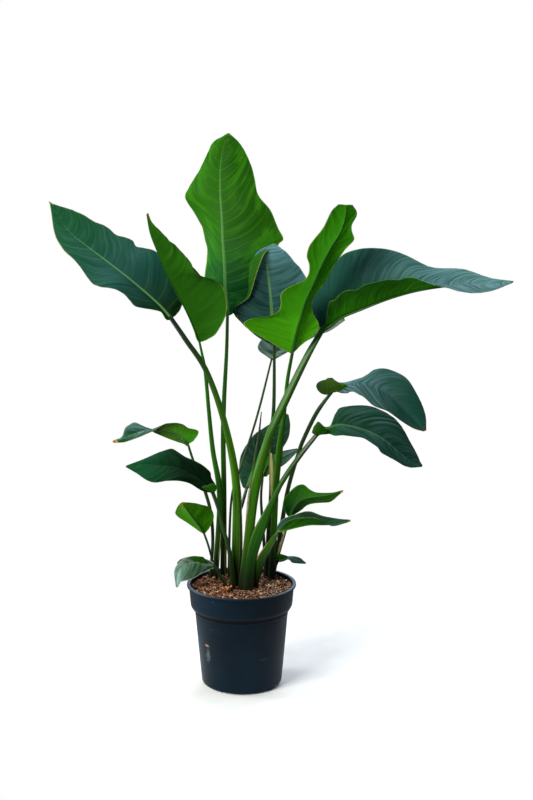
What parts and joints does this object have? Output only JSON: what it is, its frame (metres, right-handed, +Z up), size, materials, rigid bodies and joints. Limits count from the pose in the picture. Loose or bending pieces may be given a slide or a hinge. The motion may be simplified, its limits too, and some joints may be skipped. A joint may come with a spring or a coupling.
{
  "type": "potted bird of paradise plant",
  "caption": "Leafy bird of paradise plant with broad paddle leaves on long stalks, growing from bark soil in a dark tapered nursery pot with a rolled rim.",
  "frame": {"origin": "middle of the pot's flat base, on the floor", "axes": "+Z up, -Y towards the front, +X to the right as seen from the front"},
  "size_m": [0.9863, 0.3723, 1.1992],
  "materials": {
    "pot_plastic": "moulded polypropylene, satin, dark blue-black with dust and a scuff",
    "potting_mix": "loose bark chips, coir and peat, dull and rough",
    "mature_leaf": "waxy leaf blade, dark teal above and mid green beneath, pale midrib",
    "young_leaf": "thin leaf blade that lets light through, yellow-green",
    "shaded_leaf": "glossy leaf blade, deep green above",
    "rolled_leaf": "new leaf still rolled tight, smooth, with a reddish tip"
  },
  "bodies": {
    "root": {"pot": "pot_plastic", "soil": "potting_mix", "leaf_left_tall": "mature_leaf", "leaf_left_folded": "young_leaf", "leaf_top": "young_leaf", "leaf_middle": "mature_leaf", "leaf_front_bright": "young_leaf", "leaf_right_long": "mature_leaf", "leaf_behind_middle": "young_leaf", "leaf_right_upper": "mature_leaf", "leaf_right_lower": "mature_leaf", "leaf_left_twisted": "shaded_leaf", "leaf_left_dark": "shaded_leaf", "leaf_left_small": "young_leaf", "leaf_rim_left": "mature_leaf", "leaf_right_green": "young_leaf", "leaf_right_low": "shaded_leaf", "leaf_rim_right": "young_leaf", "leaf_centre_back": "shaded_leaf", "leaf_centre_small": "young_leaf", "spear_new_leaf": "rolled_leaf"}
  },
  "joints": []
}
